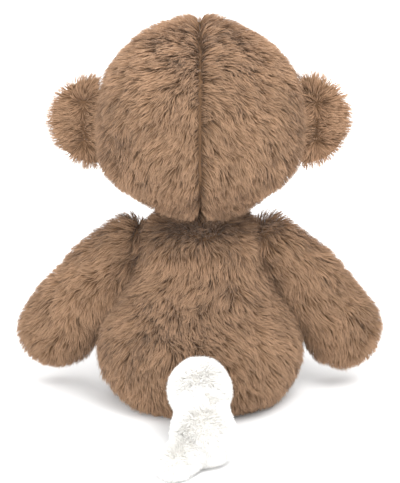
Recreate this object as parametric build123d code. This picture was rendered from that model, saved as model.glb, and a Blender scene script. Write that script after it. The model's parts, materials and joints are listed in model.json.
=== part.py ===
"""Seated stuffed monkey: sewn fur panels over fibre stuffing, with soft joints at every limb.

Millimetres, +Z up, the face looks along -Y and the seat's flat face lies on z = 0 round the origin.
"left" is the toy's own left, on +X.
"""
import math
import os

from build123d import *

os.makedirs("parts", exist_ok=True)

# ---- driving dimensions -------------------------------------------------------------------
skin = 5.0              # pile fabric: backing cloth and its dense pile
joint_gap = 0.5         # free space round every ball of stuffing that a limb turns on

seat_radius = 30.0      # flat of the seat
hip_radius = 60.0       # widest ring of the torso
hip_height = 32.0
chest_radius = 34.0
chest_height = 98.0
torso_top = 121.0
shoulder_power = 2.4    # how square the torso's top is, 2 is an ellipse
hip_to_chest_steps = 5

bean_bag_radius = 34.0
bean_bag_height = 22.0
bean_bag_cloth = 1.0

head_radius = 58.5
head_bottom = 127.5
cheek_height = 172.0    # the head is widest from the cheeks to the ears
temple_height = 186.0
head_top = 239.5
cheek_power = 2.2       # how square the lower head is, 2 is an ellipse
face_seam_y = -14.0     # plane where the back panels meet the front of the head

neck_radius = 17.0
neck_skin = 4.0
neck_height = 124.5

face_centre_height = 163.0
face_width = 76.0
face_height = 52.0
brow_radius = 20.0
brow_spacing = 30.0
brow_height = 185.0

muzzle_centre = (0.0, 5.5 - head_radius, 157.0)
muzzle_half_width = 27.0
muzzle_radius = 18.5
nose_half_width = 7.0
nose_radius = 4.6
nose_height = 167.0
mouth_thread = 0.7      # radius of the embroidery thread
mouth_half_width = 9.0
mouth_height = 152.0
mouth_droop = 4.0

eye_spacing = 36.0
eye_height = 187.0
eye_radius = 5.6
eye_pocket_gap = 0.2
eye_flat_y = 4.5 - head_radius   # plane of the eye's flat back
eye_stem_radius = 1.7
eye_stem_length = 11.0
washer_radius = 6.5
washer_thickness = 1.2
washer_y = 13.1 - head_radius   # middle of the washer

ear_radius = 27.0
ear_thickness = 11.0
ear_axis = (head_radius + 0.5, -7.0, 178.0)   # middle of the left ear's fold line
ear_root_radius = 3.2
ear_root_length = 38.0
ear_web = 2.4           # thickness of the cloth between the fold line and the ear
ear_standoff = 1.6      # from the fold roll to the ear's straight edge

arm_skin = 4.0
shoulder = (chest_radius + 9.2, 0.0, 104.0)
shoulder_gap = 1.2      # the arm swings close by the torso's side, so its socket is wider
hand = (hip_radius + 30.0, -30.0, 35.5)
arm_root_radius = 11.2
upper_arm_radius = 19.5
upper_arm_share = 0.45  # along the arm, where the upper arm is fullest
hand_radius = 20.5
shoulder_wad_radius = 4.0

leg_skin = 4.0
leg_radius = 17.5
leg_root_radius = 12.5
hip = (27.5, 3.0 - hip_radius, 22.0)
heel = (36.0, hip[1] - 47.0, leg_radius + 0.3)
shank_share = 0.55      # along the leg, where the shank starts to widen into the heel
shank_radius = leg_radius - 1.0
hip_wad_radius = 4.0
foot_radius = 16.5
toe_radius = 15.0
foot_height = 50.0
foot_forward = 5.0      # the foot's middle lies this far in front of the heel
sole_y = heel[1] - 11.0   # the seam of the sole pad

tail_skin = 4.0
tail_base = (0.0, hip_radius + 4.0, 32.0)
tail_base_radius = 12.0
tail_hump = (0.0, tail_base[1] + 20.5, 32.0)
tail_hump_radius = 17.0
tail_first_bend = (-1.0, tail_base[1] + 40.0, 25.2)
tail_first_radius = 13.5
tail_lobe = (-2.0, tail_base[1] + 62.0, 17.6)
tail_lobe_radius = 17.0
tail_second_bend = (8.0, tail_base[1] + 75.5, 11.5)
tail_second_radius = 9.5
tail_end = (15.0, tail_base[1] + 88.5, 8.8)
tail_end_radius = 8.5
tail_wad_radius = 4.0

far = 1000.0            # half-space blocks are this big
ellipse_power = 2.0
outline_steps = 6       # points along a quarter of an outline
seam_turn = Rot(0, 0, 37)   # keeps the closing line of round faces off the sewn seams
along_y = Rot(90, 0, 0)


# ---- helpers ------------------------------------------------------------------------------
def ball(centre, radius):
    return Pos(*centre) * seam_turn * Sphere(radius)


def half_space(axis, sign, place):
    """A block that fills the side of a plane square to one axis."""
    middle = [0.0, 0.0, 0.0]
    middle[axis] = place + sign * far / 2
    return Pos(*middle) * Box(far, far, far)


def turned_outline(points):
    """Solid of revolution about Z of a smooth outline of (radius, height) pairs, closed by flats."""
    places = [(r, 0, z) for r, z in points]
    low, high = points[0][1], points[-1][1]
    closing = [(0, 0, high), (0, 0, low)]
    if points[0][0] > 0:
        closing.append(places[0])
    return seam_turn * revolve(make_face(Curve() + [Spline(*places), Polyline(*closing)]), Axis.Z)


def quarter(radius, start, end, power, inner=0.0, steps=outline_steps):
    """Outline pairs from the wide ring at height start to the inner radius at height end."""
    pairs = []
    for step in range(steps + 1):
        turn = math.pi / 2 * step / steps
        out, up = math.cos(turn) ** (2 / power), math.sin(turn) ** (2 / power)
        pairs.append((inner + (radius - inner) * out, start + (end - start) * up))
    pairs[-1] = (inner, end)
    return pairs


def egg(centre, half_length, radius, turn=Rot(0, 0, 0)):
    """Ellipsoid of revolution, long or short along Z until it is turned."""
    low = quarter(radius, 0, -half_length, ellipse_power)
    high = quarter(radius, 0, half_length, ellipse_power)
    return Pos(*centre) * turn * turned_outline(low[:0:-1] + high)


def ball_string(frame, balls):
    """Balls strung along a frame's Z and the cones between neighbours: (distance, radius) pairs."""
    def at(ball_size, angle):
        distance, radius = ball_size
        return (radius * math.cos(angle), 0, distance + radius * math.sin(angle))

    leans = [math.asin((b[1] - a[1]) / (b[0] - a[0])) for a, b in zip(balls, balls[1:])]
    turns = [math.pi / 2] + leans + [-math.pi / 2]
    outline = []
    for ball_size, start, end in zip(balls, turns, turns[1:]):
        places = [at(ball_size, -angle) for angle in (start, (start + end) / 2, end)]
        outline.append(ThreePointArc(*places))
    for a, b, lean in zip(balls, balls[1:], leans):
        outline.append(Line(at(a, -lean), at(b, -lean)))
    outline.append(Line(at(balls[-1], math.pi / 2), at(balls[0], -math.pi / 2)))
    return frame.location * seam_turn * revolve(make_face(Curve() + outline), Axis.Z)


def mirrored(solid):
    return mirror(solid, about=Plane.YZ)


def as_drawn(solid):
    return solid


def unit(start, end):
    return (Vector(*end) - Vector(*start)).normalized()


def limb_frame(start, end):
    """Frame on a limb's axis: local Z runs down the limb and local Y points to the toy's back."""
    along = unit(start, end)
    across = Vector(0, 1, 0).cross(along).normalized()
    return Plane(origin=start, x_dir=across, z_dir=along)


def distance(start, end):
    return (Vector(*end) - Vector(*start)).length


def save(solid, name):
    solid.label = name
    export_step(solid, os.path.join("parts", name + ".step"))


# ---- torso --------------------------------------------------------------------------------
def torso_form(inset):
    """Flat seat, round hips, then an easy taper to rounded shoulders."""
    hips, chest = hip_radius - inset, chest_radius - inset
    outline = quarter(hips, hip_height, inset, ellipse_power, inner=seat_radius)[::-1]
    for step in range(1, hip_to_chest_steps):
        share = step / hip_to_chest_steps
        ease = (1 - math.cos(math.pi * share)) / 2
        height = hip_height + (chest_height - hip_height) * share
        outline.append((hips + (chest - hips) * ease, height))
    outline += quarter(chest, chest_height, torso_top - inset, shoulder_power)
    return turned_outline(outline)


def both_sides(solid):
    return solid + mirrored(solid)


def build_torso():
    sockets = ball((0, 0, neck_height), neck_radius + joint_gap)
    sockets += both_sides(ball(shoulder, arm_root_radius + shoulder_gap))
    sockets += both_sides(ball(hip, leg_root_radius + joint_gap))
    sockets += ball(tail_base, tail_base_radius + joint_gap)
    core = torso_form(skin)
    shell = torso_form(0.0) - core - sockets
    core = core - sockets
    back, front = half_space(1, 1, 0.0), half_space(1, -1, 0.0)
    left, right = half_space(0, 1, 0.0), half_space(0, -1, 0.0)
    above_seat = shell & half_space(2, 1, skin)
    save(above_seat & back & left, "torso_back_left")
    save(above_seat & back & right, "torso_back_right")
    save(above_seat & front, "torso_belly")
    save(shell & half_space(2, -1, skin), "torso_seat")

    middle = (0, 0, skin + bean_bag_height / 2 + bean_bag_cloth)
    bag = egg(middle, bean_bag_height / 2, bean_bag_radius)
    pellets = egg(middle, bean_bag_height / 2 - bean_bag_cloth, bean_bag_radius - bean_bag_cloth)
    save(bag - pellets, "bean_bag")
    save(pellets, "bean_bag_pellets")
    save(core - bag, "torso_stuffing")


# ---- neck ---------------------------------------------------------------------------------
def build_neck():
    centre = (0, 0, neck_height)
    stuffing = ball(centre, neck_radius - neck_skin)
    save(ball(centre, neck_radius) - stuffing, "neck_skin")
    save(stuffing, "neck_stuffing")


# ---- head ---------------------------------------------------------------------------------
def head_form(inset):
    low = quarter(head_radius - inset, cheek_height, head_bottom + inset, cheek_power)
    high = quarter(head_radius - inset, temple_height, head_top - inset, ellipse_power)
    return turned_outline(low[::-1] + high)


def face_outline():
    """Block along Y: two brow rounds over a wide lower face."""
    face = Pos(0, 0, face_centre_height) * along_y * extrude(
        Ellipse(face_width / 2, face_height / 2), amount=far / 2, both=True
    )
    for side in (-1, 1):
        face += Pos(side * brow_spacing / 2, 0, brow_height) * along_y * Cylinder(brow_radius, far)
    return face


def rod(radius, y_from, y_to, x, z):
    return Pos(x, (y_from + y_to) / 2, z) * along_y * Cylinder(radius, abs(y_to - y_from))


def eye_parts(side):
    x, z = side * eye_spacing / 2, eye_height
    dome = ball((x, eye_flat_y, z), eye_radius) & half_space(1, -1, eye_flat_y)
    stem = rod(eye_stem_radius, eye_flat_y - eye_radius / 2, eye_flat_y + eye_stem_length, x, z)
    pocket = rod(eye_radius + eye_pocket_gap, eye_flat_y, eye_flat_y - eye_radius * 2, x, z)
    half = washer_thickness / 2
    washer = rod(washer_radius, washer_y - half, washer_y + half, x, z)
    return dome + stem, washer, stem, pocket


def pad(centre, half_width, radius):
    """Sausage across X."""
    reach = half_width - radius
    frame = Plane(origin=(centre[0] - reach, centre[1], centre[2]), z_dir=(1, 0, 0))
    return ball_string(frame, [(0, radius), (2 * reach, radius)])


def on_muzzle(x, z):
    """Point of the muzzle's front surface above or below its middle."""
    cx, cy, cz = muzzle_centre
    beyond = max(0.0, abs(x - cx) - (muzzle_half_width - muzzle_radius))
    return (x, cy - math.sqrt(muzzle_radius**2 - (z - cz) ** 2 - beyond**2), z)


def thread(start, middle, end):
    path = ThreePointArc(start, middle, end)
    section = Plane(origin=path @ 0, z_dir=path % 0) * Circle(mouth_thread)
    return sweep(section, path=path)


def build_head():
    outer = head_form(0.0)
    socket = ball((0, 0, neck_height), neck_radius + joint_gap)
    folds = both_sides(ear_root(ear_root_radius + joint_gap))
    core = head_form(skin)
    shell = outer - core - socket - folds
    core = core - socket

    left_eye, left_washer, left_stem, left_pocket = eye_parts(1)
    right_eye, right_washer, right_stem, right_pocket = eye_parts(-1)
    eyes_room = left_stem + right_stem + left_pocket + right_pocket
    washers = left_washer + right_washer
    save(left_eye, "left_eye")
    save(right_eye, "right_eye")
    save(left_washer - left_stem, "left_eye_washer")
    save(right_washer - right_stem, "right_eye_washer")

    back, front = shell & half_space(1, 1, face_seam_y), shell & half_space(1, -1, face_seam_y)
    save(back & half_space(0, 1, 0.0), "head_back_left")
    save(back & half_space(0, -1, 0.0), "head_back_right")
    face = face_outline()
    save(front - face, "head_front")
    save((front & face) - eyes_room, "face_panel")
    save(core - eyes_room - washers, "head_stuffing")

    nose = pad(on_muzzle(0.0, nose_height), nose_half_width, nose_radius)
    mouth = thread(
        on_muzzle(-mouth_half_width, mouth_height),
        on_muzzle(0.0, mouth_height - mouth_droop),
        on_muzzle(mouth_half_width, mouth_height),
    )
    muzzle = pad(muzzle_centre, muzzle_half_width, muzzle_radius) - outer
    save(muzzle - nose - mouth, "muzzle")
    save(nose, "nose")
    save(mouth, "mouth_stitching")


# ---- ears ---------------------------------------------------------------------------------
def ear_root(radius):
    return Pos(*ear_axis) * Cylinder(radius, ear_root_length + 2 * (radius - ear_root_radius))


def build_ears():
    x, y, z = ear_axis
    edge = x + ear_root_radius + ear_standoff
    disc = egg((edge, y, z), ear_thickness / 2, ear_radius, along_y) & half_space(0, 1, edge)
    web = Pos((x + edge + ear_web) / 2, y, z) * Box(edge + ear_web - x, ear_web, ear_root_length)
    ear = disc + web + ear_root(ear_root_radius)
    back, lining = ear & half_space(1, 1, y), ear & half_space(1, -1, y)
    for side, turn in (("left", as_drawn), ("right", mirrored)):
        save(turn(back), side + "_ear_back")
        save(turn(lining), side + "_ear_lining")


# ---- arms ---------------------------------------------------------------------------------
def arm_form(inset):
    length = distance(shoulder, hand)
    balls = [(0, arm_root_radius), (upper_arm_share * length, upper_arm_radius), (length, hand_radius)]
    return ball_string(limb_frame(shoulder, hand), [(d, r - inset) for d, r in balls])


def build_arms():
    core = arm_form(arm_skin)
    shell = arm_form(0.0) - core
    outer_half = limb_frame(shoulder, hand).location * half_space(0, -1, 0.0)
    pieces = {
        "arm_outer": shell & outer_half,
        "arm_inner": shell - outer_half,
        "arm_stuffing": core - ball(shoulder, shoulder_wad_radius + joint_gap),
        "shoulder_wad": ball(shoulder, shoulder_wad_radius),
    }
    for side, turn in (("left", as_drawn), ("right", mirrored)):
        for name, solid in pieces.items():
            save(turn(solid), side + "_" + name)


# ---- legs ---------------------------------------------------------------------------------
def leg_form(inset):
    length = distance(hip, heel)
    balls = [(0, leg_root_radius), (shank_share * length, shank_radius), (length, leg_radius)]
    shank = ball_string(limb_frame(hip, heel), [(d, r - inset) for d, r in balls])
    sole_middle = Plane(origin=(heel[0], heel[1] - foot_forward, foot_radius))
    rise = foot_height - foot_radius - toe_radius
    foot = ball_string(sole_middle, [(0, foot_radius - inset), (rise, toe_radius - inset)])
    return shank + foot


def build_legs():
    core = leg_form(leg_skin)
    shell = leg_form(0.0) - core
    front, rest = half_space(1, -1, sole_y), half_space(1, 1, sole_y)
    pieces = {
        "leg_upper": shell & rest & half_space(2, 1, heel[2]),
        "leg_lower": shell & rest & half_space(2, -1, heel[2]),
        "sole": shell & front,
        "leg_stuffing": core - ball(hip, hip_wad_radius + joint_gap),
        "hip_wad": ball(hip, hip_wad_radius),
    }
    for side, turn in (("left", as_drawn), ("right", mirrored)):
        for name, solid in pieces.items():
            save(turn(solid), side + "_" + name)


# ---- tail ---------------------------------------------------------------------------------
def build_tail():
    segments = {
        "tail_root": (tail_base, tail_base_radius, tail_hump, tail_hump_radius),
        "tail_middle": (tail_first_bend, tail_first_radius, tail_lobe, tail_lobe_radius),
        "tail_tip": (tail_second_bend, tail_second_radius, tail_end, tail_end_radius),
    }
    hollows = {
        "tail_root": ball(tail_first_bend, tail_first_radius + joint_gap),
        "tail_middle": ball(tail_second_bend, tail_second_radius + joint_gap),
    }
    for name, (start, start_radius, end, end_radius) in segments.items():
        frame = Plane(origin=start, z_dir=unit(start, end))
        balls = [(0, start_radius), (distance(start, end), end_radius)]
        core = ball_string(frame, [(d, r - tail_skin) for d, r in balls])
        shell = ball_string(frame, balls) - core
        if name in hollows:
            shell, core = shell - hollows[name], core - hollows[name]
        if name == "tail_root":
            core = core - ball(tail_base, tail_wad_radius + joint_gap)
        save(shell, name + "_skin")
        save(core, name + "_stuffing")
    save(ball(tail_base, tail_wad_radius), "tail_base_wad")


build_torso()
build_neck()
build_head()
build_ears()
build_arms()
build_legs()
build_tail()
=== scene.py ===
import itertools
import json
import math

import bpy
import numpy as np
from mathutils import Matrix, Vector
from mathutils.bvhtree import BVHTree
from mathutils.kdtree import KDTree

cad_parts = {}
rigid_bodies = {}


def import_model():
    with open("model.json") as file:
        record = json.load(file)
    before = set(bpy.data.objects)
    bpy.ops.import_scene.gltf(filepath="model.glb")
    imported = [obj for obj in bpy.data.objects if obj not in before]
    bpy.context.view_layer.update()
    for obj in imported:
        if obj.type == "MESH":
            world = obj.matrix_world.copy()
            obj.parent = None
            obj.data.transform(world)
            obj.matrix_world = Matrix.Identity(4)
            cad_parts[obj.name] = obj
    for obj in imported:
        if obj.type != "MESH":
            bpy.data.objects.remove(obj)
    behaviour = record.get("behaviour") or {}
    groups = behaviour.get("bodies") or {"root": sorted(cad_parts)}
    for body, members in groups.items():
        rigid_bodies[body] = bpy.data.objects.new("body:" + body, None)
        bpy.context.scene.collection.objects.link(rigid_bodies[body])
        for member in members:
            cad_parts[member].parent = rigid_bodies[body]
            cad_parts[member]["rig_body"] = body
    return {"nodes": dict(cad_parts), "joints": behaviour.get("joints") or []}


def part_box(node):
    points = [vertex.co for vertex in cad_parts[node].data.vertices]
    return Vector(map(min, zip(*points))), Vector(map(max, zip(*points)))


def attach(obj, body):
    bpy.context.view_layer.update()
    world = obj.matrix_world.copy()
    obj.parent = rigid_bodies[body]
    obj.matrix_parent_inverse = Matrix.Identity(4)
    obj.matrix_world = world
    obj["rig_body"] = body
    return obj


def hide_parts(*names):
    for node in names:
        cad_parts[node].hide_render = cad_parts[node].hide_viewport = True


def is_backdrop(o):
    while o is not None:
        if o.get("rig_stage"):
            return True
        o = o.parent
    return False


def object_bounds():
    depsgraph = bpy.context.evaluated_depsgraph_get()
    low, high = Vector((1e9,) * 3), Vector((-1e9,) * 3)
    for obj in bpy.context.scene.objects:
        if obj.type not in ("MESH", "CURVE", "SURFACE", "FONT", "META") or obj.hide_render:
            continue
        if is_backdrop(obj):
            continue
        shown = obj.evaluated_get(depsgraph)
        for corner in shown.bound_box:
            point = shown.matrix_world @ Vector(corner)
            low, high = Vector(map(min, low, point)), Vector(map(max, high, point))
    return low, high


# Stuffed monkey: long brown pile sewn over soft stuffing, short white pile on the tail.
# Metres, +Z up, the face looks along -Y.

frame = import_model()
cadLow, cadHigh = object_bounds()
scene = bpy.context.scene
nodes = frame["nodes"]


def joint(name):
    return next(j for j in frame["joints"] if j["name"] == name)


neckHeight = joint("neck_turn")["pos_m"][2]
earRoot = joint("left_ear_fold")["pos_m"]
headTop = cadHigh[2]
print("frame loaded:", len(nodes), "nodes")


# small tools

def softNoise(points, size, seed):  # smooth lumps about size metres apart, from -1 to 1
    cells = 32
    lattice = np.random.default_rng(seed).uniform(-1, 1, (cells, cells, cells))
    spots = points / size + 40.0
    cell = np.floor(spots).astype(int)
    part = spots - cell
    part = part * part * (3 - 2 * part)
    total = np.zeros(len(points))
    for corner in itertools.product((0, 1), repeat=3):
        weight = np.prod(np.where(corner, part, 1 - part), axis=1)
        i, j, k = ((cell + corner) % cells).T
        total += lattice[i, j, k] * weight
    return total


def layered(points, layers):  # noise of several sizes added up, each (size, strength, seed)
    return sum(strength * softNoise(points, size, seed) for size, strength, seed in layers)


def rising(values, start, over):  # 0 before start, 1 once over metres past it
    return np.clip((values - start) / over, 0, 1)


def beside(values, width):  # 1 on the line itself, 0 a width away
    return np.clip(1 - values / width, 0, 1)


def unitRows(vectors):
    return vectors / np.maximum(np.linalg.norm(vectors, axis=1, keepdims=True), 1e-12)


def turnedAbout(vectors, axes, angles):  # each row turned about its own axis
    c, s = np.cos(angles)[:, None], np.sin(angles)[:, None]
    along = np.sum(vectors * axes, axis=1, keepdims=True)
    return vectors * c + np.cross(axes, vectors) * s + axes * along * (1 - c)


def meshArrays(mesh):
    mesh.calc_loop_triangles()
    points = np.zeros(len(mesh.vertices) * 3)
    mesh.vertices.foreach_get("co", points)
    corners = np.zeros(len(mesh.loop_triangles) * 3, int)
    mesh.loop_triangles.foreach_get("vertices", corners)
    return points.reshape(-1, 3), corners.reshape(-1, 3)


def reshaped(node, kind, **settings):  # points, faces and normals of a CAD node after one modifier
    copy = bpy.data.objects.new("copy", nodes[node].data.copy())
    scene.collection.objects.link(copy)
    modifier = copy.modifiers.new("change", kind)
    for label, value in settings.items():
        setattr(modifier, label, value)
    bpy.context.view_layer.update()
    made = copy.evaluated_get(bpy.context.evaluated_depsgraph_get()).to_mesh()
    points, faces = meshArrays(made)
    normals = np.zeros(len(points) * 3)
    made.vertices.foreach_get("normal", normals)
    bpy.data.objects.remove(copy)
    return points, faces, normals.reshape(-1, 3)


def newPiece(name, points, triangles, material, uv=None):
    mesh = bpy.data.meshes.new(name)
    mesh.vertices.add(len(points))
    mesh.vertices.foreach_set("co", points.astype(np.float32).ravel())
    mesh.loops.add(len(triangles) * 3)
    mesh.loops.foreach_set("vertex_index", triangles.astype(np.int32).ravel())
    mesh.polygons.add(len(triangles))
    mesh.polygons.foreach_set("loop_start", np.arange(0, len(triangles) * 3, 3, dtype=np.int32))
    mesh.polygons.foreach_set("use_smooth", np.ones(len(triangles), bool))
    if uv is not None:
        layer = mesh.uv_layers.new(name="OFBake")
        layer.data.foreach_set("uv", uv[triangles].astype(np.float32).ravel())
    mesh.update(calc_edges=True)
    mesh.validate()
    mesh.materials.append(material)
    piece = bpy.data.objects.new(name, mesh)
    scene.collection.objects.link(piece)
    return piece


def sewnOn(piece, body, node):
    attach(piece, body)
    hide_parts(node)


# materials

def newGroup(name, inputs, outputs):
    group = bpy.data.node_groups.new(name, "ShaderNodeTree")
    for label, kind, value in inputs:
        socket = group.interface.new_socket(label, in_out="INPUT", socket_type=kind)
        socket.default_value = value
    for label, kind in outputs:
        group.interface.new_socket(label, in_out="OUTPUT", socket_type=kind)
    return group, group.nodes.new("NodeGroupInput"), group.nodes.new("NodeGroupOutput")


def ramped(tree, source, low, high):  # 0 at low, 1 at high, eased between
    node = tree.nodes.new("ShaderNodeMapRange")
    node.interpolation_type = "SMOOTHSTEP"
    node.inputs["From Min"].default_value = low
    node.inputs["From Max"].default_value = high
    tree.links.new(source, node.inputs["Value"])
    return node.outputs["Result"]


def mixed(tree, factor, first, second):
    node = tree.nodes.new("ShaderNodeMix")
    node.data_type = "RGBA"
    tree.links.new(factor, node.inputs[0])
    tree.links.new(first, node.inputs[6])
    tree.links.new(second, node.inputs[7])
    return node.outputs[2]


def pileShadeGroup():  # colour of one strand from its root to its tip
    plainTint = 0.39
    group, entry, out = newGroup(
        "pileShade",
        [
            ("Depth", "NodeSocketFloat", 0.5),
            ("Tint", "NodeSocketFloat", 0.5),
            ("Root", "NodeSocketColor", (0.1, 0.06, 0.04, 1)),
            ("Middle", "NodeSocketColor", (0.3, 0.2, 0.13, 1)),
            ("Tip", "NodeSocketColor", (0.5, 0.35, 0.25, 1)),
            ("Spread", "NodeSocketFloat", 0.3),
        ],
        [("Color", "NodeSocketColor")],
    )
    low = ramped(group, entry.outputs["Depth"], 0.0, 0.5)
    high = ramped(group, entry.outputs["Depth"], 0.45, 1.0)
    base = mixed(group, low, entry.outputs["Root"], entry.outputs["Middle"])
    base = mixed(group, high, base, entry.outputs["Tip"])
    centred = group.nodes.new("ShaderNodeMath")
    centred.operation = "SUBTRACT"
    centred.inputs[1].default_value = plainTint
    shift = group.nodes.new("ShaderNodeMath")  # (tint - plainTint) * spread + 1
    shift.operation = "MULTIPLY_ADD"
    shift.inputs[2].default_value = 1.0
    scaled = group.nodes.new("ShaderNodeVectorMath")
    scaled.operation = "SCALE"
    group.links.new(entry.outputs["Tint"], centred.inputs[0])
    group.links.new(centred.outputs[0], shift.inputs[0])
    group.links.new(entry.outputs["Spread"], shift.inputs[1])
    group.links.new(base, scaled.inputs[0])
    group.links.new(shift.outputs[0], scaled.inputs["Scale"])
    group.links.new(scaled.outputs[0], out.inputs["Color"])
    return group


def newMaterial(name, settings):
    material = bpy.data.materials.new(name)
    material.use_nodes = True
    shader = material.node_tree.nodes["Principled BSDF"]
    for label, value in settings.items():
        shader.inputs[label].default_value = value
    return material, material.node_tree, shader


def pileMaterial(name, coat, shadeGroup):
    material, tree, shader = newMaterial(name, coat["surface"])
    spot = tree.nodes.new("ShaderNodeUVMap")
    spot.uv_map = "OFBake"
    split = tree.nodes.new("ShaderNodeSeparateXYZ")
    shade = tree.nodes.new("ShaderNodeGroup")
    shade.node_tree = shadeGroup
    tree.links.new(spot.outputs["UV"], split.inputs[0])
    tree.links.new(split.outputs[0], shade.inputs["Depth"])
    tree.links.new(split.outputs[1], shade.inputs["Tint"])
    for label in ("Root", "Middle", "Tip"):
        shade.inputs[label].default_value = (*coat[label.lower()], 1)
    shade.inputs["Spread"].default_value = coat["spread"]
    tree.links.new(shade.outputs["Color"], shader.inputs["Base Color"])
    return material


clothSurface = {"Roughness": 0.9, "Specular IOR Level": 0.15, "Sheen Weight": 0.12, "Sheen Roughness": 0.5}
brownCoat = {
    "root": (0.122, 0.068, 0.036), "middle": (0.212, 0.122, 0.068), "tip": (0.340, 0.213, 0.132),
    "spread": 0.7, "surface": clothSurface,
}
whiteCoat = {
    "root": (0.80, 0.78, 0.74), "middle": (0.84, 0.83, 0.805), "tip": (0.86, 0.85, 0.83),
    "spread": 0.1, "surface": clothSurface,
}
creamCoat = {
    "root": (0.42, 0.30, 0.19), "middle": (0.66, 0.52, 0.37), "tip": (0.80, 0.68, 0.53),
    "spread": 0.2, "surface": clothSurface,
}
pileShade = pileShadeGroup()
brownPile = pileMaterial("brownPile", brownCoat, pileShade)
whitePile = pileMaterial("whitePile", whiteCoat, pileShade)
creamPile = pileMaterial("creamPile", creamCoat, pileShade)


def speckledMaterial(name, dark, light, size, roughness, bump=0.0):  # two tones in specks of a size
    material, tree, shader = newMaterial(name, {"Roughness": roughness})
    place = tree.nodes.new("ShaderNodeTexCoord")
    noise = tree.nodes.new("ShaderNodeTexNoise")
    noise.inputs["Scale"].default_value = 1 / size
    noise.inputs["Detail"].default_value = 4
    ramp = tree.nodes.new("ShaderNodeValToRGB")
    for tone, position, colour in zip(ramp.color_ramp.elements, (0.3, 0.7), (dark, light)):
        tone.position, tone.color = position, (*colour, 1)
    tree.links.new(place.outputs["Object"], noise.inputs["Vector"])
    tree.links.new(noise.outputs[0], ramp.inputs[0])
    tree.links.new(ramp.outputs[0], shader.inputs["Base Color"])
    if bump:
        raised = tree.nodes.new("ShaderNodeBump")
        raised.inputs["Distance"].default_value = bump
        tree.links.new(noise.outputs[0], raised.inputs["Height"])
        tree.links.new(raised.outputs[0], shader.inputs["Normal"])
    return material


fibre = speckledMaterial("looseFibre", (0.78, 0.78, 0.77), (0.93, 0.93, 0.92), 0.002, 0.95, 0.0005)
bagCloth = speckledMaterial("bagCloth", (0.72, 0.70, 0.65), (0.84, 0.82, 0.78), 0.0012, 0.9, 0.0002)
pellets = speckledMaterial("pellets", (0.62, 0.62, 0.60), (0.88, 0.88, 0.86), 0.003, 0.35, 0.001)
washerPlastic = speckledMaterial("washerPlastic", (0.74, 0.74, 0.72), (0.80, 0.80, 0.78), 0.004, 0.45)
darkThread = speckledMaterial("darkThread", (0.010, 0.006, 0.004), (0.030, 0.019, 0.014), 0.0008, 0.6)

eye = {
    "ring": (0.030, 0.012, 0.005), "black": (0.002, 0.0015, 0.0015),
    "pupil": 0.0030, "rim": 0.0044, "reach": 0.006, "soft": 0.03,
}


def eyeMaterial():  # dark glass eye with a brown ring round the pupil
    material, tree, shader = newMaterial("eyeGloss", {"Roughness": 0.08, "Specular IOR Level": 0.3})
    low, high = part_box("left_eye")
    middle = (low + high) / 2
    place = tree.nodes.new("ShaderNodeTexCoord")
    source = place.outputs["Object"]
    steps = (
        ("ABSOLUTE", None), ("SUBTRACT", (middle.x, 0, middle.z)), ("MULTIPLY", (1, 0, 1)), ("LENGTH", None),
    )
    for operation, value in steps:  # both eyes at once, so x loses its sign first
        node = tree.nodes.new("ShaderNodeVectorMath")
        node.operation = operation
        if value:
            node.inputs[1].default_value = value
        tree.links.new(source, node.inputs[0])
        source = node.outputs["Value" if operation == "LENGTH" else "Vector"]
    share = tree.nodes.new("ShaderNodeMath")
    share.operation = "DIVIDE"
    share.inputs[1].default_value = eye["reach"]
    tree.links.new(source, share.inputs[0])
    ramp = tree.nodes.new("ShaderNodeValToRGB")
    bands = ramp.color_ramp.elements
    pupil, rim, soft = eye["pupil"] / eye["reach"], eye["rim"] / eye["reach"], eye["soft"]
    bands[0].position, bands[0].color = pupil - soft, (*eye["black"], 1)
    bands[1].position, bands[1].color = pupil + soft, (*eye["ring"], 1)
    for position, key in ((rim - soft, "ring"), (rim + soft, "black")):
        bands.new(position).color = (*eye[key], 1)
    tree.links.new(share.outputs[0], ramp.inputs[0])
    tree.links.new(ramp.outputs[0], shader.inputs["Base Color"])
    return material


eyeGloss = eyeMaterial()
print("materials ready")


# which skin is open to the air

def wholeTree():
    allPoints, allFaces, owner = [], [], []
    for name in sorted(nodes):
        points, faces = meshArrays(nodes[name].data)
        allFaces += (faces + len(allPoints)).tolist()
        allPoints += points.tolist()
        owner += [name] * len(faces)
    return BVHTree.FromPolygons(allPoints, allFaces, all_triangles=True), owner


cadTree, cadOwner = wholeTree()
touching = {"seam": 0.00015, "joint": 0.0007}  # closer than this to a neighbour is inside


def inOpenAir(node, points):
    body = nodes[node]["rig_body"]

    def free(hit):
        other = cadOwner[hit[2]]
        return other == node or (nodes[other]["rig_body"] == body and hit[3] > touching["seam"])

    nearby = (cadTree.find_nearest_range(Vector(p), touching["joint"]) for p in points)
    return np.array([all(free(hit) for hit in hits) for hits in nearby], bool)


# pile

longPile = {
    "length": 0.0122, "width": 0.00039, "perSquareMm": 1.75, "sink": 0.0014, "curl": 0.22,
    "rootAngle": 18, "tipAngle": 78, "angleSpread": 20, "turnSpread": 24, "clumpTurn": 55,
    "clumps": ((0.0023, 0.45), (0.0075, 0.25)), "sections": (0.0, 0.4, 0.75, 1.0), "lumps": 1.2,
    "taller": 0.0, "paintedLight": 0.0,
}
nearNeckPile = dict(longPile, length=0.0125, rootAngle=8, tipAngle=48)
# the ears' pile colour is lifted lighter as painted light, for the light falling on the ears
earPile = dict(
    longPile, length=0.0088, width=0.00033, perSquareMm=2.3, taller=0.2, clumpTurn=30, paintedLight=0.45,
    clumps=((0.0023, 0.30), (0.0075, 0.12)),
)
shortPile = {
    "length": 0.0034, "width": 0.00040, "perSquareMm": 3.0, "sink": 0.0004, "curl": 0.15,
    "rootAngle": 12, "tipAngle": 50, "angleSpread": 16, "turnSpread": 60, "clumpTurn": 60,
    "clumps": ((0.0026, 0.35),), "sections": (0.0, 0.6, 1.0), "lumps": 0.5,
    "taller": 0.0, "paintedLight": 0.0,
}
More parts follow.
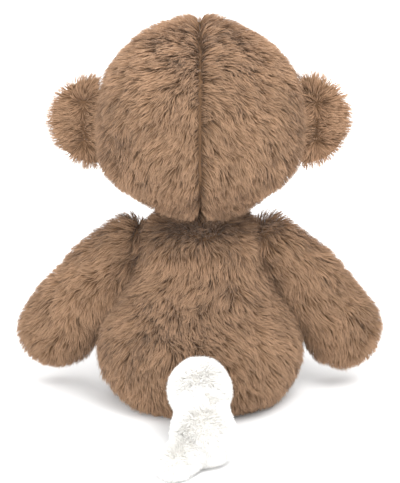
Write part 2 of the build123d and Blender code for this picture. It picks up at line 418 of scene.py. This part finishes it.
tailPile = dict(
    shortPile, length=0.0052, width=0.00034, perSquareMm=5.0, rootAngle=8, tipAngle=56, angleSpread=26,
    clumps=((0.003, 0.12),), turnSpread=45,
)

# noise layers, each (size, strength, seed)
stuffingLumps = ((0.022, 0.0012, 5), (0.0088, 0.00048, 6))
swirls = ((0.02, 0.6, 11), (0.0065, 0.5, 12))
shades = ((0.014, 0.22, 21), (0.005, 0.12, 22))

standing = {"underHead": 56, "shoulders": 16, "besideEars": 28, "crown": 10}  # degrees up from the usual lie
ruffling = {"crown": 60, "crownWidth": 0.0028, "spine": 45, "spineWidth": 0.009}
# along the head's seam the strands are shorter, and their colour is darkened as painted shade in the parting
parting = {"width": 0.0026, "shorter": 0.5, "paintedShade": 0.35}
# painted light: the pile's colour grows lighter up the crown, standing in for light falling from above
crownPaintedLight = {"from": headTop - 0.0395, "over": 0.03, "paintedLight": 0.45}
backing = {"faces": 3500, "depth": 0.04, "uneven": 0.03}
floorGap = 0.0003


def stoodUp(points, normals):  # pile hangs under the chin and bristles on the shoulders
    x, z = np.abs(points[:, 0]), points[:, 2]
    under = np.clip(-normals[:, 2] * 1.4, 0, 1) * rising(z, neckHeight - 0.0025, 0.004)
    shoulders = rising(z, neckHeight - 0.0245, 0.015) * (z < neckHeight - 0.003)
    nearEars = beside(np.hypot(x - earRoot[0] + 0.003, (z - earRoot[2]) * 0.5), 0.016)
    nearEars *= (z > neckHeight + 0.0055) * (x < earRoot[0] + 0.0015)
    crown = beside(x, 0.012) * rising(z, headTop - 0.0175, 0.01)
    return (
        standing["underHead"] * under + standing["shoulders"] * shoulders
        + standing["besideEars"] * nearEars + standing["crown"] * crown
    )


def ruffled(points):  # degrees: pile crosses over the seams it was brushed away from
    x, z = np.abs(points[:, 0]), points[:, 2]
    crown = beside(x, ruffling["crownWidth"]) * (z > headTop - 0.0175)
    spine = beside(x, ruffling["spineWidth"]) * np.clip((0.09 - z) / 0.02, 0, 1) * (points[:, 1] > 0.02)
    return ruffling["crown"] * crown + ruffling["spine"] * spine


def parted(points):  # 1 along the seam down the back of the head, 0 a few millimetres away
    z = points[:, 2]
    onSeam = np.exp(-(points[:, 0] / parting["width"]) ** 2) * (points[:, 1] > 0)
    return onSeam * rising(z, neckHeight + 0.0005, 0.005) * np.clip((headTop - 0.0135 - z) / 0.01, 0, 1)


def sampledRoots(node, density, rng):
    points, faces = meshArrays(nodes[node].data)
    a, b, c = points[faces[:, 0]], points[faces[:, 1]], points[faces[:, 2]]
    normals = np.cross(b - a, c - a)
    areas = np.linalg.norm(normals, axis=1) / 2
    count = int(areas.sum() * density)
    chosen = rng.choice(len(faces), count, p=areas / areas.sum())
    u, v = rng.random(count), rng.random(count)
    flip = u + v > 1
    u[flip], v[flip] = 1 - u[flip], 1 - v[flip]
    spots = a[chosen] + (b - a)[chosen] * u[:, None] + (c - a)[chosen] * v[:, None]
    keep = inOpenAir(node, spots)
    return spots[keep], unitRows(normals[chosen])[keep]


def strandPaths(roots, normals, along, length, rootAngle, tipAngle, sections):
    steps = 12
    start = np.zeros((len(roots), 1))
    angles = rootAngle[:, None] + (tipAngle - rootAngle)[:, None] * (np.arange(steps) + 0.5) / steps
    rise = np.concatenate([start, np.cumsum(np.cos(angles), axis=1)], axis=1) / steps
    run = np.concatenate([start, np.cumsum(np.sin(angles), axis=1)], axis=1) / steps
    paths = []
    for share in sections:
        i = int(round(share * steps))
        paths.append(roots + length[:, None] * (normals * rise[:, i:i + 1] + along * run[:, i:i + 1]))
    return np.stack(paths, axis=1)


def combed(points, normals, comb, turn):  # directions along the cloth, and how far each lies over
    flow = unitRows(comb(points))
    flow = flow - np.sum(flow * normals, axis=1, keepdims=True) * normals
    return turnedAbout(unitRows(flow), normals, turn), np.linalg.norm(flow, axis=1)


def gathered(paths, roots, pile, rng):  # tips lean to the middle of their clump; returns its tint
    count = len(roots)
    tint = np.zeros(count)
    for size, strength in pile["clumps"]:
        heads = max(4, int(count / pile["perSquareMm"] / (size * 1000) ** 2))
        leaders = rng.choice(count, min(heads, count), replace=False)
        tree = KDTree(len(leaders))
        for i, leader in enumerate(leaders):
            tree.insert(Vector(roots[leader]), i)
        tree.balance()
        clump = np.array([tree.find(Vector(p))[1] for p in roots])
        pull = strength * (0.3 + 1.1 * rng.random(len(leaders)))[clump] * (0.6 + 0.6 * rng.random(count))
        leading = paths[leaders].copy()
        for i, share in enumerate(pile["sections"]):
            paths[:, i] += (leading[clump, i] - paths[:, i]) * (pull * share ** 1.3)[:, None]
        tint += 0.08 * rng.normal(0, 1, len(leaders))[clump]
    return tint


def ribbons(paths, normals, tint, pile, rng):  # as wide as the strand, narrowing to its tip
    count, sections = len(paths), pile["sections"]
    ahead = unitRows(paths[:, -1] - paths[:, 0])
    side = unitRows(np.cross(ahead, normals))
    side = turnedAbout(side, ahead, rng.normal(0, 0.6, count))
    width = pile["width"] * (0.7 + 0.6 * rng.random(count))
    last = len(sections) - 1
    rows, uvRows = [], []
    for i, share in enumerate(sections[:-1]):
        half = (width * (1 - 0.55 * share ** 1.5) / 2)[:, None]
        rows += [paths[:, i] - side * half, paths[:, i] + side * half]
        for edge in (-0.004, 0.004):
            uvRows.append(np.stack([np.full(count, 0.06 + 0.93 * share), tint + edge], axis=1))
    rows.append(paths[:, last])
    uvRows.append(np.stack([np.full(count, 0.99), tint], axis=1))
    points, uv = np.stack(rows, axis=1), np.stack(uvRows, axis=1)
    pattern = []
    for k in range(0, 2 * (last - 1), 2):
        pattern += [(k, k + 1, k + 3), (k, k + 3, k + 2)]
    k = 2 * (last - 1)
    pattern.append((k, k + 1, k + 2))
    triangles = (np.arange(count) * points.shape[1])[:, None, None] + np.array(pattern)[None]
    return points.reshape(-1, 3), triangles.reshape(-1, 3), uv.reshape(-1, 2)


def growPile(node, pile, comb, seed):
    rng = np.random.default_rng(seed)
    roots, normals = sampledRoots(node, pile["perSquareMm"] * 1e6, rng)
    count = len(roots)
    seam = parted(roots)
    spread = np.radians(pile["angleSpread"])
    rootAngle = np.radians(pile["rootAngle"]) + rng.normal(0, 0.4, count) * spread
    tipAngle = np.radians(pile["tipAngle"]) + rng.normal(0, 0.5, count) * spread
    raised = np.radians(stoodUp(roots, normals))
    rootAngle, tipAngle = rootAngle - 0.3 * raised, tipAngle - raised
    turn = np.radians(pile["clumpTurn"]) * layered(roots, swirls)
    turn += rng.normal(0, 0.6, count) * np.radians(pile["turnSpread"] + ruffled(roots))
    along, over = combed(roots, normals, comb, turn)

    length = pile["length"] * (0.72 + 0.34 * rng.random(count)) * (1 + 0.12 * softNoise(roots, 0.012, 31))
    length *= 1 + pile["taller"] * rising(roots[:, 2], roots[:, 2].mean(), 0.02)
    length *= 0.6 + 0.4 * np.clip(over / 0.5, 0, 1)
    length *= 1 - parting["shorter"] * seam
    base = roots + normals * (layered(roots, stuffingLumps) * pile["lumps"] - pile["sink"])[:, None]
    paths = strandPaths(base, normals, along, length, rootAngle, tipAngle, pile["sections"])
    curl = pile["curl"] * (0.5 * rng.normal(0, 1, count) + 1.3 * softNoise(roots, 0.005, 14)) * length
    sideways = np.cross(normals, along)
    for i, share in enumerate(pile["sections"]):
        paths[:, i] += sideways * (curl * share ** 2)[:, None]

    # painted shade: the pile is darkened along the seam; the pile's last term is painted light, which lifts
    # the ears' colour
    tint = 0.5 + layered(roots, shades) - parting["paintedShade"] * seam + pile["paintedLight"]
    # painted light on the crown: lighter the higher the root
    tint += crownPaintedLight["paintedLight"] * rising(roots[:, 2], crownPaintedLight["from"], crownPaintedLight["over"])
    tint += gathered(paths, roots, pile, rng)
    tint += 0.12 * rng.normal(0, 1, count)
    tint = np.clip(tint * 0.7 + 0.04, 0.02, 0.98)
    return ribbons(paths, normals, tint, pile, rng)


def clothBack(node, pile):  # the woven back that the pile grows from
    share = min(1.0, backing["faces"] / max(1, len(nodes[node].data.polygons)))
    points, faces, normals = reshaped(node, "DECIMATE", ratio=share)
    points = points + normals * (layered(points, stuffingLumps) * pile["lumps"] - pile["sink"])[:, None]
    tint = np.clip(0.5 + 0.3 * softNoise(points, 0.008, 41), 0.02, 0.98)
    depth = backing["depth"] + backing["uneven"] * softNoise(points, 0.004, 42)
    return points, faces, np.stack([depth, tint], axis=1)


def pilePiece(name, node, body, material, pile, comb, seed):
    backPoints, backFaces, backUv = clothBack(node, pile)
    points, faces, uv = growPile(node, pile, comb, seed)
    allPoints = np.vstack([backPoints, points])
    rests = floorGap * (1 + (np.arange(len(allPoints)) % 3))  # flattened strands stay apart on the floor
    allPoints[:, 2] = np.maximum(allPoints[:, 2], rests)
    piece = newPiece(
        name, allPoints, np.vstack([backFaces, faces + len(backPoints)]), material, np.vstack([backUv, uv])
    )
    sewnOn(piece, body, node)
    print(name, len(faces), "pile faces")


# how the pile is combed

def awayFromCrown(points):  # head: out from the middle seam, then down
    flat = points.copy()
    flat[:, 2] = 0
    high = rising(points[:, 2:], neckHeight + 0.0255, 0.09)
    seam = np.exp(-np.abs(points[:, :1]) / 0.007) * (points[:, 1:2] > 0)
    out = 0.8 * unitRows(flat) * (1 - 0.6 * high)
    side = np.sign(points[:, :1]) * np.array([[1.0, 0, 0]])
    return out + side * (0.8 * high + 0.9 * seam) + np.array([[0, 0, -1.0]])


def downTorso(points):
    side = points[:, :1] / 0.06 * np.array([[1.0, 0, 0]])
    wander = np.stack([softNoise(points, 0.03, seed) for seed in (51, 52, 53)], axis=1)
    return 0.55 * side + np.array([[0, 0, -1.0]]) + 0.35 * wander


def alongLimb(start, end, away, droop=0.35):  # away from the body at the root, then down the limb
    start, end = np.array(start), np.array(end)
    length = np.linalg.norm(end - start)
    axis = (end - start) / length

    def comb(points):
        share = np.clip((points - start) @ axis / length / 0.45, 0, 1)[:, None]
        return np.array(away) * (1 - share) + axis * share + np.array([[0, 0, -droop]])

    return comb


def fromLine(centre, halfHeight=0.0):  # away from a short upright line
    centre = np.array(centre)

    def comb(points):
        off = points - centre
        off[:, 2] -= np.clip(off[:, 2], -halfHeight, halfHeight)
        return off

    return comb


# head
for side in ("left", "right"):
    pilePiece(f"head_back_{side}_fur", f"head_back_{side}", "head", brownPile, longPile,
              awayFromCrown, 100 + len(side))
pilePiece("head_front_fur", "head_front", "head", brownPile, longPile, awayFromCrown, 110)
pilePiece("face_pile", "face_panel", "head", creamPile, shortPile, awayFromCrown, 111)
low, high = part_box("muzzle")
muzzleHeart = np.array((low + high) / 2) + np.array([0, -0.02, 0.012])
pilePiece("muzzle_pile", "muzzle", "head", creamPile, shortPile, fromLine(muzzleHeart), 112)
pilePiece("neck_fur", "neck_skin", "neck", brownPile, nearNeckPile, downTorso, 113)

# torso
for part, seed in (("back_left", 120), ("back_right", 121), ("belly", 122), ("seat", 123)):
    pilePiece(f"torso_{part}_fur", f"torso_{part}", "torso", brownPile, longPile,
              downTorso, seed)

# ears, arms and legs
for side, sign in (("left", 1), ("right", -1)):
    earPivot = joint(f"{side}_ear_fold")["pos_m"]
    fromEarMiddle = fromLine((earPivot[0] + sign * 0.013, earPivot[1], earPivot[2]), 0.012)
    pilePiece(f"{side}_ear_fur", f"{side}_ear_back", f"{side}_ear", brownPile,
              earPile, fromEarMiddle, 130 + sign)
    pilePiece(f"{side}_ear_lining_pile", f"{side}_ear_lining", f"{side}_ear", creamPile,
              shortPile, fromEarMiddle, 134 + sign)
    shoulder = joint(f"{side}_arm_swing")["pos_m"]
    low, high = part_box(f"{side}_arm_stuffing")
    handEnd = (high.x if sign > 0 else low.x, low.y, low.z)
    for part, seed in (("outer", 140), ("inner", 144)):
        pilePiece(f"{side}_arm_{part}_fur", f"{side}_arm_{part}", f"{side}_arm", brownPile,
                  longPile, alongLimb(shoulder, handEnd, (sign, 0.3, -0.1)), seed + sign)
    hip = joint(f"{side}_leg_lift")["pos_m"]
    low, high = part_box(f"{side}_sole")
    soleMiddle = np.array((low + high) / 2)
    for part, seed in (("upper", 150), ("lower", 154)):
        pilePiece(f"{side}_leg_{part}_fur", f"{side}_leg_{part}", f"{side}_leg", brownPile,
                  longPile, alongLimb(hip, soleMiddle, (0, -1, 0)), seed + sign)
    pilePiece(f"{side}_sole_pile", f"{side}_sole", f"{side}_leg", creamPile, shortPile,
              fromLine(soleMiddle + np.array([0, 0.01, 0.02])), 158 + sign)

# tail
for part, seed in (("root", 160), ("middle", 161), ("tip", 162)):
    pilePiece(f"tail_{part}_pile", f"tail_{part}_skin", f"tail_{part}", whitePile, tailPile,
              downTorso, seed)


# stuffing and hard parts

wad = {"voxel": 0.0022, "smallVoxel": 0.0009, "inward": 0.0009, "uneven": 0.0006}


def stuffingPiece(node):  # a lumpy wad of fibre in the space the skin leaves
    voxel = wad["smallVoxel"] if node.endswith("_wad") else wad["voxel"]
    points, faces, normals = reshaped(node, "REMESH", mode="VOXEL", voxel_size=voxel)
    inward = wad["inward"] + wad["uneven"] * softNoise(points, 0.006, 61)
    piece = newPiece(node + "_fibre", points - normals * inward[:, None], faces, fibre)
    sewnOn(piece, nodes[node]["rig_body"], node)


for node in sorted(nodes):
    if node.endswith(("_stuffing", "_wad")):
        stuffingPiece(node)
carried = {
    "bean_bag": bagCloth, "bean_bag_pellets": pellets, "left_eye": eyeGloss, "right_eye": eyeGloss,
    "left_eye_washer": washerPlastic, "right_eye_washer": washerPlastic,
}
for node, material in carried.items():
    nodes[node].data.materials.clear()
    nodes[node].data.materials.append(material)
print("stuffing packed")


# nose and mouth

noseThread = {"radius": 0.00036, "pitch": 0.00058, "reach": 100, "edge": 0.0006}
mouthThread = {
    "radius": 0.00045, "twist": 0.0024, "steps": 90, "dropSteps": 30, "margin": 0.0007, "proud": 0.0016,
}


def threadTube(path, radius, sides=6):
    path = np.array(path)
    ahead = unitRows(np.gradient(path, axis=0))
    up = unitRows(np.cross(ahead, np.array([[0.3, 1.0, 0.2]])))
    across = np.cross(ahead, up)
    turns = np.linspace(0, 2 * math.pi, sides, endpoint=False)
    rings = [path + radius * (math.cos(t) * up + math.sin(t) * across) for t in turns]
    points = np.stack(rings, axis=1).reshape(-1, 3)
    faces = []
    for i in range(len(path) - 1):
        for k in range(sides):
            a, b = i * sides + k, i * sides + (k + 1) % sides
            faces += [(a, a + sides, b), (b, a + sides, b + sides)]
    for start, order in ((0, 1), ((len(path) - 1) * sides, -1)):
        ring = [start + k for k in range(sides)][::order]
        faces += [(ring[0], ring[k], ring[k + 1]) for k in range(1, sides - 1)]
    return points, np.array(faces)


def threadPiece(name, node, tubes):
    points, faces, base = [], [], 0
    for tubePoints, tubeFaces in tubes:
        points.append(tubePoints)
        faces.append(tubeFaces + base)
        base += len(tubePoints)
    piece = newPiece(name, np.vstack(points), np.vstack(faces), darkThread)
    sewnOn(piece, nodes[node]["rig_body"], node)


low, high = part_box("nose")
noseMiddle, noseRadius = np.array((low + high) / 2), (high.z - low.z) / 2
halfNose = (high.x - low.x) / 2
angles = np.radians(np.linspace(-noseThread["reach"], noseThread["reach"], 15))
stitches = []
for x in np.arange(-halfNose + noseThread["edge"], halfNose - 0.0005, noseThread["pitch"]):
    beyond = max(0.0, abs(x) - halfNose + noseRadius)  # the nose's ends are round
    ring = math.sqrt(max(noseRadius ** 2 - beyond ** 2, 1e-8))
    path = [noseMiddle + np.array([x, -ring * math.cos(a), ring * math.sin(a)]) for a in angles]
    stitches.append(threadTube(path, noseThread["radius"]))
threadPiece("nose_stitches", "nose", stitches)

muzzleTree = BVHTree.FromPolygons(*[a.tolist() for a in meshArrays(nodes["muzzle"].data)], all_triangles=True)


def onMuzzle(x, z):  # a point of the stitching, just proud of the muzzle's cloth
    hit = muzzleTree.ray_cast(Vector((x, -0.3, z)), Vector((0, 1, 0)))[0]
    return np.array([x, (hit.y if hit else noseMiddle[1]) - mouthThread["proud"], z])


def twisted(path):  # two plies round each other
    path = np.array(path)
    travel = np.concatenate([[0], np.cumsum(np.linalg.norm(np.diff(path, axis=0), axis=1))])
    ahead = unitRows(np.gradient(path, axis=0))
    out = unitRows(np.cross(ahead, np.array([[0.0, 0.2, 1.0]])) + 1e-9)
    up = np.cross(ahead, out)
    ply = mouthThread["radius"]
    plies = []
    for lag in (0, math.pi):
        turns = (2 * math.pi * travel / mouthThread["twist"] + lag)[:, None]
        plies.append(threadTube(path + ply * 0.75 * (np.cos(turns) * out + np.sin(turns) * up), ply))
    return plies


low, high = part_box("mouth_stitching")
margin = mouthThread["margin"]
smileBottom, smileRise = low.z + margin, high.z - low.z - 2 * margin
halfSmile = (high.x - low.x) / 2 - margin
smile = [
    onMuzzle(share * halfSmile, smileBottom + smileRise * share ** 2)
    for share in np.linspace(-1, 1, mouthThread["steps"])
]
dropTop = noseMiddle[2] - noseRadius * 0.8
drop = [onMuzzle(0, z) for z in np.linspace(dropTop, smileBottom, mouthThread["dropSteps"])]
threadPiece("mouth_thread", "mouth_stitching", twisted(smile) + twisted(drop))
print("face sewn")


# floor, light, camera

light = {"sky": 1.4, "key": 15.0, "fill": 16.0, "front": 8.0}
floorSize = 3.0
shot = {"height": 17.0, "distance": 2.6, "aim": (0.0, 0.0, 0.1015), "frameHeight": 0.302, "sensor": 36.0}


def aimed(thing, place, target):
    thing.location = place
    thing.rotation_mode = "QUATERNION"
    thing.rotation_quaternion = (Vector(target) - Vector(place)).to_track_quat("-Z", "Y")
    scene.collection.objects.link(thing)


def areaLight(name, place, target, power, size):
    data = bpy.data.lights.new(name, "AREA")
    data.energy, data.size = power, size
    aimed(bpy.data.objects.new(name, data), place, target)


def stageFloor():
    mesh = bpy.data.meshes.new("floor")
    corners = [(x * floorSize, y * floorSize, 0) for x, y in ((-1, -1), (1, -1), (1, 1), (-1, 1))]
    mesh.from_pydata(corners, [], [(0, 1, 2, 3)])
    floor = bpy.data.objects.new("floor", mesh)
    scene.collection.objects.link(floor)
    mesh.materials.append(speckledMaterial("paleFloor", (0.90, 0.90, 0.90), (0.92, 0.92, 0.92), 0.4, 0.95))
    floor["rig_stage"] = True


stageFloor()
world = bpy.data.worlds.new("studio")
scene.world = world
world.use_nodes = True
world.node_tree.nodes["Background"].inputs["Color"].default_value = (1, 1, 1, 1)
world.node_tree.nodes["Background"].inputs["Strength"].default_value = light["sky"]
areaLight("key", (-0.45, 0.7, 1.3), (0, 0, 0.1), light["key"], 0.8)
areaLight("fill", (0.35, 1.4, 0.35), (0, 0, 0.12), light["fill"], 0.9)
areaLight("front", (0.2, -1.0, 0.9), (0, 0, 0.12), light["front"], 0.8)
scene.view_settings.view_transform = "Standard"

rise = math.radians(shot["height"])
camera = bpy.data.objects.new("camera", bpy.data.cameras.new("camera"))
behind = Vector((0, math.cos(rise), math.sin(rise)))
aimed(camera, Vector(shot["aim"]) + shot["distance"] * behind, shot["aim"])
camera.data.sensor_width = shot["sensor"]
camera.data.lens = shot["sensor"] * shot["distance"] / shot["frameHeight"]
camera.data.clip_start, camera.data.clip_end = 0.01, 20.0
scene.camera = camera
bpy.context.view_layer.update()

low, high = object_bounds()
print("scene ready")
